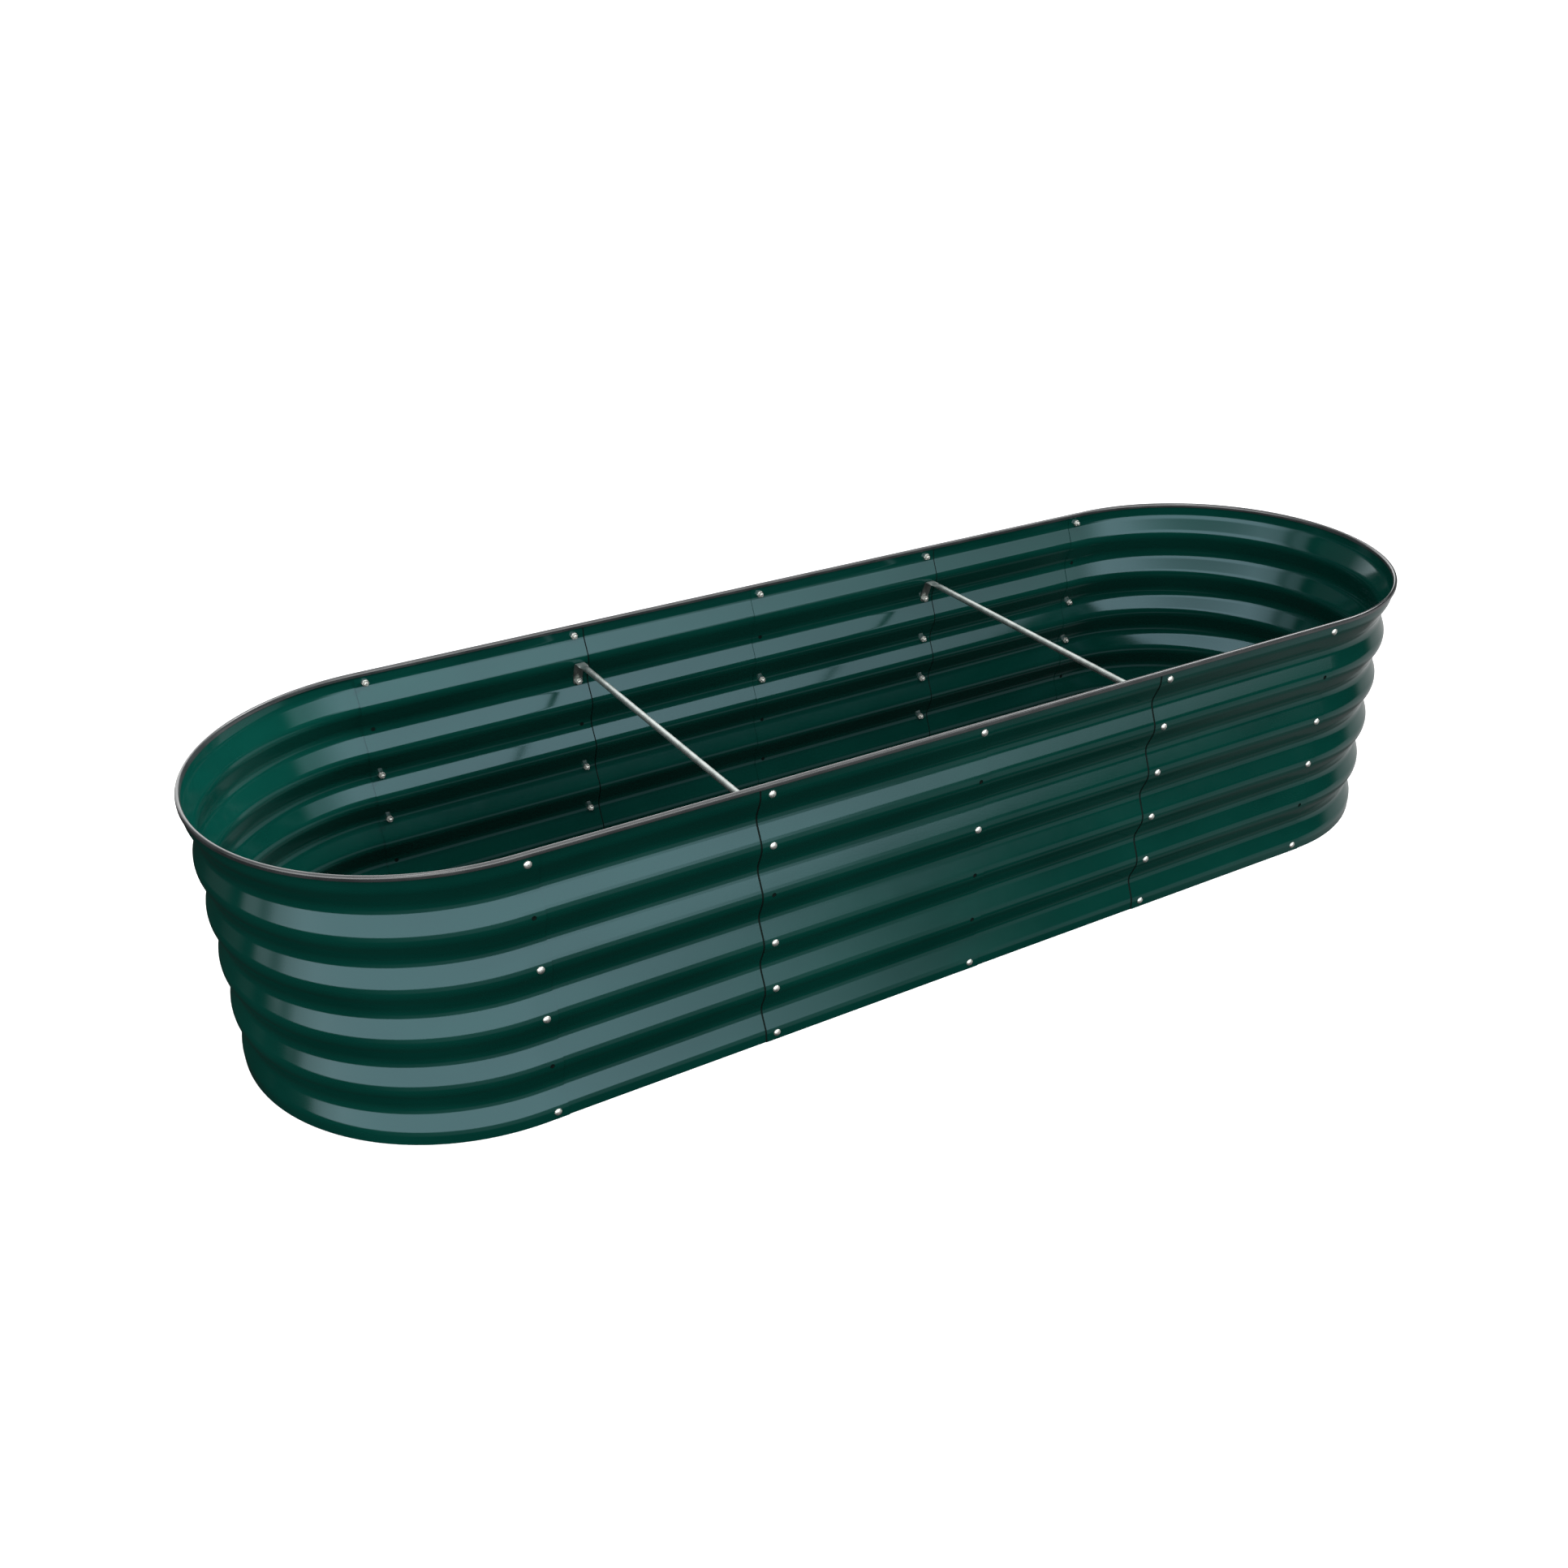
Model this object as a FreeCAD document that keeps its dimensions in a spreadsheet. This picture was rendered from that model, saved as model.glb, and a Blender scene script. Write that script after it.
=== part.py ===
import FreeCAD, Part
import math
import os
import re

import Sketcher

# Raised garden bed: a stadium-shaped wall of ten corrugated steel panels, bolted through laps
# at five seams on each long side, with a rubber edging round the rim and two tie rods across.
# The bed stands on z = 0 with its length along X; the front is -Y. Seams are lettered a to e
# from -X to +X. Right-hand and front pieces are drawn; the others are the same turned half round.

driving_sizes = [
    ("panel_pitch", 336, "seam to seam along the bed"),
    ("lap_margin", 16, "bolt line to the edge of a panel"),
    ("crest_radius", 312, "half the width, to the crests of the outer panels"),
    ("sheet_thickness", 0.8, "steel of the panels"),
    ("lap_clearance", 0.2, "air between two lapped panels"),
    ("wave_pitch", 76, "crest to crest, up the wall"),
    ("wave_depth", 12.5, "crest to valley"),
    ("corrugations", 5, "valleys up the wall"),
    ("crest_flat", 11, "height of the flat on a crest"),
    ("valley_flat", 7, "height of the flat in a valley"),
    ("lowest_crest", 11.5, "middle of the lowest crest above the ground"),
    ("rim_rise", 13.5, "top of the panels above the middle of the highest crest"),
    ("hole_across", 6.8, "bolt holes, across their flats"),
    ("shank_across", 6, "bolt shanks, across their flats"),
    ("shank_length", 12, "bolt shanks, under the head"),
    ("head_width", 12.5, "bolt heads, at the panel"),
    ("head_height", 3.3, "bolt heads"),
    ("head_bevel", 2, "bevel that rounds a bolt head"),
    ("nut_across", 10, "nuts, across their flats"),
    ("nut_height", 5, "nuts"),
    ("edging_overhang", 3, "edging outside the crests"),
    ("edging_width", 8, "edging across the rim"),
    ("edging_height", 10, "edging, bottom to top"),
    ("edging_cover", 4, "edging above the top of the panels"),
    ("edging_bevel", 2.2, "bevels along the top of the edging"),
    ("edging_clearance", 0.2, "slot of the edging, beside the lapped panels"),
    ("edging_gap", 1, "butt joint of the edging, at the back"),
    ("rod_diameter", 10, "tube of the tie rods"),
    ("rod_drop", 3.5, "tie rods below the middle of the highest valley but one"),
    ("strap_width", 15.6, "flattened ends of the tie rods"),
    ("strap_thickness", 2, "flattened ends of the tie rods"),
    ("strap_clearance", 1, "flattened ends clear of the valley"),
    ("flat_length", 12, "level part of a flattened end"),
    ("flare_length", 24, "from the round tube to its flattened end"),
]

# Each half-round end is drawn in this many flats, and small round things in fewer.
bend_flats = 16
head_sides = 10
tube_sides = 6
hex_sides = 6

# Rows of bolts, counted from the highest crest, at each seam; the other holes stay open.
bolt_rows = {
    "a": (1, 3, 4, 6),
    "b": (1, 2, 4, 5, 6),
    "c": (1, 3, 6),
    "d": (1, 2, 3, 4, 5, 6),
    "e": (1, 3, 4, 6),
}
seam_places = {"a": -2, "b": -1, "c": 0, "d": 1, "e": 2}
rod_seams = ("b", "d")
rod_row = 2

# Lengths that follow from the driving sizes.
lap_stack = "(2*sheet_thickness + lap_clearance)"
lap_step = "(sheet_thickness + lap_clearance)"
highest_crest = "(lowest_crest + corrugations*wave_pitch)"
sheet_top = f"({highest_crest} + rim_rise)"
arc_start = "(2*panel_pitch + lap_margin)"
inside_face = f"(crest_radius - {lap_stack})"
inside_ridge = f"({inside_face} - wave_depth)"
rod_bolt_height = f"({highest_crest} - {rod_row - 1}*wave_pitch)"
rod_height = f"({rod_bolt_height} + wave_pitch/2 - rod_drop)"
nut_face = {True: f"({inside_face} - strap_thickness)", False: inside_face}

doc = FreeCAD.newDocument("raised_garden_bed")
sheet = doc.addObject("Spreadsheet::Sheet", "Sizes")
for row, (alias, size, note) in enumerate(driving_sizes, start=1):
    sheet.set(f"A{row}", note)
    sheet.set(f"B{row}", str(size))
    sheet.setAlias(f"B{row}", alias)
doc.recompute()
size_words = re.compile(r"\b(" + "|".join(alias for alias, size, note in driving_sizes) + r")\b")


def bind(target, path, formula):
    """Ties one property of an object to a formula of the driving sizes."""
    target.setExpression(path, size_words.sub(r"Sizes.\1", formula))


def new_body(label, along="0", turned=False):
    """Starts a sub-part: along is its place on X, turned is half a turn about Z."""
    body = doc.addObject("PartDesign::Body", label)
    body.Label = label
    if turned:
        body.Placement = FreeCAD.Placement(FreeCAD.Vector(), FreeCAD.Rotation(FreeCAD.Vector(0, 0, 1), 180))
    bind(body, "Placement.Base.x", along)
    return body


def origin_plane(body, role):
    return [part for part in body.Origin.OriginFeatures if part.Role == role][0]


def new_sketch(body, plane, name, shift="0"):
    """Starts a sketch parallel to one of the body's own planes, shifted along its normal."""
    sketch = body.newObject("Sketcher::SketchObject", f"{body.Label}_{name}")
    sketch.AttachmentSupport = [(origin_plane(body, plane), "")]
    sketch.MapMode = "FlatFace"
    bind(sketch, "AttachmentOffset.Base.z", shift)
    return sketch


def draw_line(sketch, points, closed=False):
    """Draws straight edges through points, each a pair of formulas."""
    count = len(points)
    edges = count if closed else count - 1
    first = sketch.GeometryCount
    rough = [
        FreeCAD.Vector(math.cos(2*math.pi*place/count), math.sin(2*math.pi*place/count), 0)
        for place in range(count)
    ]
    segments = [Part.LineSegment(rough[edge], rough[(edge + 1) % count]) for edge in range(edges)]
    sketch.addGeometry(segments, False)
    joints = range(edges) if closed else range(edges - 1)
    sketch.addConstraint([
        Sketcher.Constraint("Coincident", first + edge, 2, first + (edge + 1) % count, 1) for edge in joints
    ])
    for place, point in enumerate(points):
        vertex = (first + place, 1) if place < edges else (first + place - 1, 2)
        for kind, formula in zip(("DistanceX", "DistanceY"), point):
            index = sketch.addConstraint(Sketcher.Constraint(kind, -1, 1, *vertex, 1.0))
            bind(sketch, f"Constraints[{index}]", formula)


def draw_outline(sketch, corners):
    draw_line(sketch, corners, closed=True)


def draw_circle(sketch, height, diameter):
    """Draws a circle on the sketch's upright axis."""
    circle = sketch.addGeometry(Part.Circle(FreeCAD.Vector(0, 1, 0), FreeCAD.Vector(0, 0, 1), 5), False)
    sketch.addConstraint(Sketcher.Constraint("PointOnObject", circle, 3, -2))
    centre = sketch.addConstraint(Sketcher.Constraint("DistanceY", -1, 1, circle, 3, 1.0))
    bind(sketch, f"Constraints[{centre}]", height)
    width = sketch.addConstraint(Sketcher.Constraint("Diameter", circle, 5.0))
    bind(sketch, f"Constraints[{width}]", diameter)


def regular(sides, across, along, height, tall=None):
    """Corners of a regular polygon, given across its flats; tall squashes it to that height."""
    reach = 1/(2*math.cos(math.pi/sides))
    turns = [2*math.pi*place/sides for place in range(sides)]
    sideways = [f"{along} + {across}*({reach*math.cos(turn):.6f})" for turn in turns]
    upward = [f"{height} + {tall or across}*({reach*math.sin(turn):.6f})" for turn in turns]
    return list(zip(sideways, upward))


def feature(body, kind, name, profile):
    """Adds a sketch-based feature and makes it the tip of its body."""
    made = body.newObject(f"PartDesign::{kind}", f"{body.Label}_{name}")
    made.Profile = profile
    body.Tip = made
    return made


def pad(body, name, profile, length, reverse=False, symmetric=False):
    made = feature(body, "Pad", name, profile)
    made.SideType = "Symmetric" if symmetric else "One side"
    made.Reversed = reverse
    bind(made, "Length", length)
    return made


def pipe(body, name, profile, route):
    """Sweeps a section along a route, mitred at its corners."""
    made = feature(body, "AdditivePipe", name, profile)
    made.Spine = (route, [])
    made.Transition = "Right corner"
    return made


def repeat_up(body, name, originals, direction, copies):
    """Repeats features up the wall, one wave apart."""
    made = body.newObject("PartDesign::LinearPattern", f"{body.Label}_{name}")
    made.Originals = originals
    made.Direction = (direction, ["V_Axis"])
    made.Mode = "Spacing"
    bind(made, "Offset", "wave_pitch")
    bind(made, "Occurrences", copies)
    body.Tip = made


# Panels

def wave_outline(side, face):
    """Section of one corrugation, from crest to crest; side is -1 for front and 1 for back."""
    line = [
        ("0", "lowest_crest"),
        ("0", "lowest_crest + crest_flat/2"),
        ("wave_depth", "lowest_crest + (wave_pitch - valley_flat)/2"),
        ("wave_depth", "lowest_crest + (wave_pitch + valley_flat)/2"),
        ("0", "lowest_crest + wave_pitch - crest_flat/2"),
        ("0", "lowest_crest + wave_pitch"),
    ]
    outer = [(f"{side}*({face} - {depth})", height) for depth, height in line]
    inner = [(f"{side}*({face} - {depth} - sheet_thickness)", height) for depth, height in line]
    return outer + inner[::-1]


def strip_outlines(side, face):
    """Sections of the plain strips below the lowest crest and above the highest one."""
    outer = f"{side}*({face})"
    inner = f"{side}*({face} - sheet_thickness)"
    spans = [("0", "lowest_crest"), (highest_crest, sheet_top)]
    return [[(outer, low), (inner, low), (inner, high), (outer, high)] for low, high in spans]


def punch_holes(body, places):
    """Punches a column of bolt holes through the crests at each place along the panel."""
    holes = new_sketch(body, "XZ_Plane", "hole_outline")
    for along in places:
        draw_outline(holes, regular(hex_sides, "hole_across", along, "lowest_crest"))
    punched = feature(body, "Pocket", "holes", holes)
    punched.Type = "ThroughAll"
    punched.SideType = "Symmetric"
    repeat_up(body, "hole_columns", [punched], holes, "corrugations + 1")


def side_panel(label, along, face, turned=False):
    body = new_body(label, along, turned)
    length = "panel_pitch + 2*lap_margin"
    wave = new_sketch(body, "YZ_Plane", "wave")
    draw_outline(wave, wave_outline(-1, face))
    waves = pad(body, "corrugation", wave, length, symmetric=True)
    repeat_up(body, "corrugations", [waves], wave, "corrugations")
    strips = new_sketch(body, "YZ_Plane", "strips")
    for outline in strip_outlines(-1, face):
        draw_outline(strips, outline)
    pad(body, "plain_strips", strips, length, symmetric=True)
    punch_holes(body, ("-panel_pitch/2", "panel_pitch/2"))


def bend_points(centre, side):
    """Plan of a half-round end about a point on X: side is 1 for the right end, front to back."""
    turns = [math.pi*place/bend_flats for place in range(bend_flats + 1)]
    lengthways = [f"{centre} + crest_radius*({side*math.sin(turn):.6f})" for turn in turns]
    crossways = [f"crest_radius*({-side*math.cos(turn):.6f})" for turn in turns]
    return list(zip(lengthways, crossways))


def end_panel(label, along, face, turned=False):
    """Half-round panel with a straight tail at each end, as long as the lap."""
    body = new_body(label, along, turned)
    tail = "-2*lap_margin"
    route = new_sketch(body, "XY_Plane", "route")
    draw_line(route, [(tail, "-crest_radius")] + bend_points("0", 1) + [(tail, "crest_radius")])
    wave = new_sketch(body, "YZ_Plane", "wave", tail)
    draw_outline(wave, wave_outline(-1, face))
    waves = pipe(body, "corrugation", wave, route)
    repeat_up(body, "corrugations", [waves], wave, "corrugations")
    for name, outline in zip(("base_strip", "rim_strip"), strip_outlines(-1, face)):
        strip = new_sketch(body, "YZ_Plane", f"{name}_outline", tail)
        draw_outline(strip, outline)
        pipe(body, name, strip, route)
    punch_holes(body, ("-lap_margin",))


outer_face = "crest_radius"
inner_face = f"(crest_radius - {lap_step})"
end_panel("left_end_panel", f"-{arc_start}", outer_face, turned=True)
end_panel("right_end_panel", arc_start, inner_face)
for span, middle, face in (
    ("ab", -1.5, inner_face),
    ("bc", -0.5, outer_face),
    ("cd", 0.5, inner_face),
    ("de", 1.5, outer_face),
):
    side_panel(f"front_panel_{span}", f"{middle}*panel_pitch", face)
    side_panel(f"back_panel_{span}", f"{middle}*panel_pitch", face, turned=True)


# Bolts and nuts, a group at each seam

def row_height(row):
    return f"({highest_crest} - {row - 1}*wave_pitch)"


def bolt_group(label, along, rows, turned):
    body = new_body(label, along, turned)
    heads = new_sketch(body, "XZ_Plane", "head_outline", outer_face)
    shanks = new_sketch(body, "XZ_Plane", "shank_outline", outer_face)
    for row in rows:
        draw_outline(heads, regular(head_sides, "head_width", "0", row_height(row)))
        draw_outline(shanks, regular(hex_sides, "shank_across", "0", row_height(row)))
    blanks = pad(body, "heads", heads, "head_height")
    doc.recompute()
    top = blanks.Shape.BoundBox.YMin if not turned else blanks.Shape.BoundBox.YMax
    tops = [
        f"Face{number}" for number, head_face in enumerate(blanks.Shape.Faces, start=1)
        if abs(head_face.BoundBox.YMin - top) + abs(head_face.BoundBox.YMax - top) < 1e-4
    ]
    bevels = body.newObject("PartDesign::Chamfer", f"{label}_bevels")
    bevels.Base = (blanks, tops)
    bind(bevels, "Size", "head_bevel")
    body.Tip = bevels
    pad(body, "shanks", shanks, "shank_length", reverse=True)


def nut_group(label, along, seam, rows, turned):
    body = new_body(label, along, turned)
    for row in rows:
        seat = nut_face[seam in rod_seams and row == rod_row]
        nut = new_sketch(body, "XZ_Plane", f"nut_outline_{row}", seat)
        draw_outline(nut, regular(hex_sides, "nut_across", "0", row_height(row)))
        draw_outline(nut, regular(hex_sides, "shank_across", "0", row_height(row)))
        pad(body, f"nut_{row}", nut, "nut_height", reverse=True)


crests = int(sheet.get("corrugations")) + 1
for seam, place in seam_places.items():
    rows = [row for row in bolt_rows[seam] if row <= crests]
    for wall, turned in (("front", False), ("back", True)):
        bolt_group(f"{wall}_bolts_{seam}", f"{place}*panel_pitch", rows, turned)
        nut_group(f"{wall}_nuts_{seam}", f"{place}*panel_pitch", seam, rows, turned)


# Rim edging: a strip with a slot, pushed down over the panels, its ends butted at the back

def edging_outline():
    outer = "(crest_radius + edging_overhang)"
    inner = f"({outer} - edging_width)"
    top = f"({sheet_top} + edging_cover)"
    bottom = f"({top} - edging_height)"
    slot_outer = "(crest_radius + edging_clearance)"
    slot_inner = f"(crest_radius - {lap_stack} - edging_clearance)"
    return [
        (outer, bottom),
        (outer, f"{top} - edging_bevel"),
        (f"{outer} - edging_bevel", top),
        (f"{inner} + edging_bevel", top),
        (inner, f"{top} - edging_bevel"),
        (inner, bottom),
        (slot_inner, bottom),
        (slot_inner, sheet_top),
        (slot_outer, sheet_top),
        (slot_outer, bottom),
    ]


edging = new_body("rim_edging")
butt = "panel_pitch/2"
rim_route = new_sketch(edging, "XY_Plane", "route")
draw_line(
    rim_route,
    [(f"{butt} - edging_gap", "crest_radius")]
    + bend_points(f"-{arc_start}", -1)
    + bend_points(arc_start, 1)
    + [(butt, "crest_radius")]
)
section = new_sketch(edging, "YZ_Plane", "section", f"{butt} - edging_gap")
draw_outline(section, edging_outline())
pipe(edging, "strip", section, rim_route)


# Tie rods: round tube, flattened at each end, cranked down the wall and bolted under a nut

# How far the inner corners of the two bends are set back, in strap thicknesses.
knee_setback = 2/3
heel_setback = 0.2


def strap_outline():
    """Side view of a flattened end, which is level, follows the wall down, then lies on a crest."""
    knee = f"({inside_ridge} - strap_clearance)"
    upper = f"({rod_height} + strap_thickness/2)"
    lower = f"({rod_height} - strap_thickness/2)"
    heel = f"({rod_bolt_height} + crest_flat/2)"
    foot = f"({rod_bolt_height} - crest_flat/2)"
    outline = [
        (f"{knee} - flat_length", upper),
        (knee, upper),
        (inside_face, heel),
        (inside_face, foot),
        (f"{inside_face} - strap_thickness", foot),
        (f"{inside_face} - strap_thickness", f"{heel} - {heel_setback}*strap_thickness"),
        (f"{knee} - {knee_setback:.6f}*strap_thickness", lower),
        (f"{knee} - flat_length", lower),
    ]
    return [(f"-({reach})", height) for reach, height in outline]


def tie_rod(label, along):
    body = new_body(label, along)
    flat_start = f"({inside_ridge} - strap_clearance - flat_length)"
    tube_end = f"({flat_start} - flare_length)"
    tube = new_sketch(body, "XZ_Plane", "tube_section")
    draw_circle(tube, rod_height, "rod_diameter")
    pad(body, "tube", tube, f"2*{tube_end}", symmetric=True)
    side_view = new_sketch(body, "YZ_Plane", "strap_side_view")
    draw_outline(side_view, strap_outline())
    strap = pad(body, "strap", side_view, "strap_width", symmetric=True)
    tube_mouth = new_sketch(body, "XZ_Plane", "tube_mouth", tube_end)
    draw_outline(tube_mouth, regular(tube_sides, "rod_diameter", "0", rod_height))
    flat_mouth = new_sketch(body, "XZ_Plane", "flat_mouth", flat_start)
    draw_outline(flat_mouth, regular(tube_sides, "strap_width", "0", rod_height, "strap_thickness"))
    flare = feature(body, "AdditiveLoft", "flare", tube_mouth)
    flare.Sections = [flat_mouth]
    flare.Ruled = True
    mirrored = body.newObject("PartDesign::Mirrored", f"{label}_far_end")
    mirrored.Originals = [strap, flare]
    mirrored.MirrorPlane = (origin_plane(body, "XZ_Plane"), [""])
    body.Tip = mirrored
    hole_outline = new_sketch(body, "XZ_Plane", "eye_hole_outline")
    draw_outline(hole_outline, regular(hex_sides, "hole_across", "0", rod_bolt_height))
    hole = feature(body, "Pocket", "eye_holes", hole_outline)
    hole.Type = "ThroughAll"
    hole.SideType = "Symmetric"


for seam in rod_seams:
    tie_rod(f"tie_rod_{seam}", f"{seam_places[seam]}*panel_pitch")


# Every feature has to be sound, and every cut has to take material away.
doc.recompute()
for item in doc.Objects:
    if "Invalid" in item.State or "Error" in item.State:
        raise RuntimeError(f"{item.Label} failed: {item.State}")
    if item.TypeId == "PartDesign::Pocket" and item.Shape.Volume >= item.BaseFeature.Shape.Volume:
        raise RuntimeError(f"{item.Label} cuts nothing")
bodies = [item for item in doc.Objects if item.TypeId == "PartDesign::Body"]
for body in bodies:
    if body.Shape.isNull() or not body.Shape.isValid():
        raise RuntimeError(f"{body.Label} has no valid shape")

os.makedirs("parts", exist_ok=True)
for body in bodies:
    body.Shape.exportStep(f"parts/{body.Label}.step")
    print(f"{body.Label}: {len(body.Shape.Solids)} solids, {body.Shape.Volume/1000:.1f} cm3")
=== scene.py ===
import math

import bmesh
import bpy
from mathutils import Matrix, Vector


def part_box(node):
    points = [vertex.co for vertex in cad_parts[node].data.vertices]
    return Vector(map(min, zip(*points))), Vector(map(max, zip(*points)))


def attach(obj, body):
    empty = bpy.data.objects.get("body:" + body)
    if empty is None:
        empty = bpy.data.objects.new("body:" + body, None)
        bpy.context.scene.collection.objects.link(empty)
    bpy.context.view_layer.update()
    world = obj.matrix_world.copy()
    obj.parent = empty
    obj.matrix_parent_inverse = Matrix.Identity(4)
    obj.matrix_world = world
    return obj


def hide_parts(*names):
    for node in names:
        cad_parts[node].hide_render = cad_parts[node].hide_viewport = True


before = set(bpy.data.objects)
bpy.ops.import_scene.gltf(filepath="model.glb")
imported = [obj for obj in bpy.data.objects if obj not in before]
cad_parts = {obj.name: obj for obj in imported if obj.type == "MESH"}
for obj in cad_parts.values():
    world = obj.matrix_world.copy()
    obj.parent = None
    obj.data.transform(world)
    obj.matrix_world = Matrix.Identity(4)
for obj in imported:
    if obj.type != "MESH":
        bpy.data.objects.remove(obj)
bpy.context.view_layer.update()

doubleReach = 0.000002  # metres within which two corners count as one
squareOn = 0.9  # a face looks along y where its normal has more than this along y
bevelAngle = 50  # degrees, sharper edges than this are bevelled


def clearSelection():
    bpy.ops.object.select_all(action="DESELECT")


def activate(piece):
    clearSelection()
    piece.select_set(True)
    bpy.context.view_layer.objects.active = piece


def openEdit(piece):
    activate(piece)
    bpy.ops.object.mode_set(mode="EDIT")
    bpy.ops.mesh.select_all(action="SELECT")


def closeEdit():
    bpy.ops.object.mode_set(mode="OBJECT")


def rename(piece, name):
    piece.name = name
    piece.data.name = name


def discard(piece):
    bpy.data.objects.remove(piece, do_unlink=True)


def startPoint(name, place):
    # a plane merged to one point, left in edit mode with the point selected
    clearSelection()
    bpy.ops.mesh.primitive_plane_add(size=0.01, location=(0, 0, 0))
    piece = bpy.context.object
    rename(piece, name)
    bpy.ops.object.mode_set(mode="EDIT")
    bpy.ops.mesh.select_mode(type="VERT")
    bpy.ops.mesh.merge(type="CENTER")
    bpy.ops.transform.translate(value=place)
    return piece


def drawLine(points):
    # extrudes the selected point along a list of places
    for before, after in zip(points, points[1:]):
        step = Vector(after) - Vector(before)
        bpy.ops.mesh.extrude_vertices_move(TRANSFORM_OT_translate={"value": step})
    bpy.ops.mesh.select_all(action="SELECT")


def extrudeTo(step):
    bpy.ops.mesh.extrude_region_move(TRANSFORM_OT_translate={"value": step})


def spinRound(steps, centre):
    # half a turn, counter-clockwise from above
    bpy.ops.mesh.spin(steps=steps, angle=-math.pi, center=centre, axis=(0, 0, 1))


def turnHalfRound():
    bpy.ops.transform.rotate(value=math.pi, orient_axis="Z", center_override=(0, 0, 0))


def addCylinder(radius, length, middle, sides):
    # lies along y
    clearSelection()
    bpy.ops.mesh.primitive_cylinder_add(
        vertices=sides, radius=radius, depth=length, location=middle, rotation=(math.pi/2, 0, 0))
    return bpy.context.object


def addTurned(name, radius, length, middle, sides):
    # a cylinder along y whose object sits at the origin
    piece = addCylinder(radius, length, middle, sides)
    rename(piece, name)
    bpy.ops.object.transform_apply(location=True, rotation=True, scale=True)
    return piece


def pickFaces(piece, side):
    # selects the faces that look along y, to the front where side is -1
    bpy.ops.mesh.select_mode(type="FACE")
    form = bmesh.from_edit_mesh(piece.data)
    for face in form.faces:
        face.select_set(face.normal.y*side > squareOn)
    form.select_flush_mode()
    bmesh.update_edit_mesh(piece.data)


def mergeDoubles():
    bpy.ops.mesh.select_all(action="SELECT")
    bpy.ops.mesh.remove_doubles(threshold=doubleReach)


def tidyNormals(piece, outward):
    # makes the faces point along outward(place)
    mergeDoubles()
    bpy.ops.mesh.normals_make_consistent(inside=False)
    form = bmesh.from_edit_mesh(piece.data)
    total = sum(face.normal.dot(outward(face.calc_center_median()))*face.calc_area() for face in form.faces)
    if total < 0:
        bpy.ops.mesh.flip_normals()


def applyModifier(piece, kind, **settings):
    activate(piece)
    modifier = piece.modifiers.new(kind.lower(), kind)
    for key, value in settings.items():
        setattr(modifier, key, value)
    bpy.ops.object.modifier_apply(modifier=modifier.name)


def cutAway(piece, cutter):
    applyModifier(piece, "BOOLEAN", operation="DIFFERENCE", solver="EXACT", object=cutter)
    discard(cutter)


def bevelEdges(piece, width):
    applyModifier(
        piece, "BEVEL", width=width, segments=2, limit_method="ANGLE", angle_limit=math.radians(bevelAngle))


def shade(piece, degrees):
    activate(piece)
    bpy.ops.object.shade_smooth_by_angle(angle=math.radians(degrees))


def joinPieces(pieces):
    clearSelection()
    for piece in pieces:
        piece.select_set(True)
    bpy.context.view_layer.objects.active = pieces[0]
    bpy.ops.object.join()
    return bpy.context.object


def copyPiece(piece, name):
    activate(piece)
    bpy.ops.object.duplicate(linked=False)
    made = bpy.context.object
    rename(made, name)
    return made


def movePiece(piece, step, turned=False):
    # moves the mesh, and then turns it half round for the back of the bed
    openEdit(piece)
    bpy.ops.transform.translate(value=step)
    if turned:
        turnHalfRound()
    closeEdit()


def dress(piece, material):
    piece.data.materials.clear()
    piece.data.materials.append(material)
    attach(piece, "root")


def finishPiece(piece, node, material):
    dress(piece, material)
    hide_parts(node)


def finishPaintedShade(piece):
    # painted shade with no solid of its own: dark strips and discs that stand in for the shade at the laps
    # and inside open bolt holes
    dress(piece, paintedShadeBlack)


# sizes shared by the pieces, in metres
bed = {
    "radius": 0.312,  # to the crests of the outer panels
    "seamPitch": 0.336,
    "margin": 0.016,  # bolt line to panel edge
    "sheet": 0.0008,
    "innerStep": 0.001,  # how far a lapped panel sits inside its neighbour
    "lowestCrest": 0.0115,
    "wavePitch": 0.076,
    "waveDepth": 0.0125,
    "waves": 5,
    "strap": 0.002,  # thickness of a tie rod's flattened end
    "top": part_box("front_panel_bc")[1][2],
}
arcStart = 2*bed["seamPitch"] + bed["margin"]
highestCrest = bed["lowestCrest"] + bed["waves"]*bed["wavePitch"]
insideFace = bed["radius"] - bed["innerStep"] - bed["sheet"]
seamPlaces = {"a": -2, "b": -1, "c": 0, "d": 1, "e": 2}
walls = (("front", False), ("back", True))  # the back's pieces are turned half round
rodSeams = ("b", "d")
rodRow = 2


def rowHeight(row):
    return highestCrest - (row - 1)*bed["wavePitch"]


def newMaterial(name):
    material = bpy.data.materials.new(name)
    material.use_nodes = True
    nodes = material.node_tree.nodes
    return material, nodes, material.node_tree.links, nodes["Principled BSDF"]


def addNoise(nodes, links, scale, detail, stretch=(1, 1, 1)):
    place = nodes.new("ShaderNodeTexCoord")
    mapping = nodes.new("ShaderNodeMapping")
    mapping.inputs["Scale"].default_value = stretch
    noise = nodes.new("ShaderNodeTexNoise")
    noise.inputs["Scale"].default_value = scale
    noise.inputs["Detail"].default_value = detail
    links.new(place.outputs["Object"], mapping.inputs["Vector"])
    links.new(mapping.outputs["Vector"], noise.inputs["Vector"])
    return noise


def addRamp(nodes, links, source, stops):
    ramp = nodes.new("ShaderNodeValToRGB")
    ramp.color_ramp.elements[0].position = stops[0][0]
    ramp.color_ramp.elements[0].color = stops[0][1]
    ramp.color_ramp.elements[1].position = stops[-1][0]
    ramp.color_ramp.elements[1].color = stops[-1][1]
    for position, color in stops[1:-1]:
        ramp.color_ramp.elements.new(position).color = color
    links.new(source, ramp.inputs["Fac"])
    return ramp.outputs["Color"]


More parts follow.
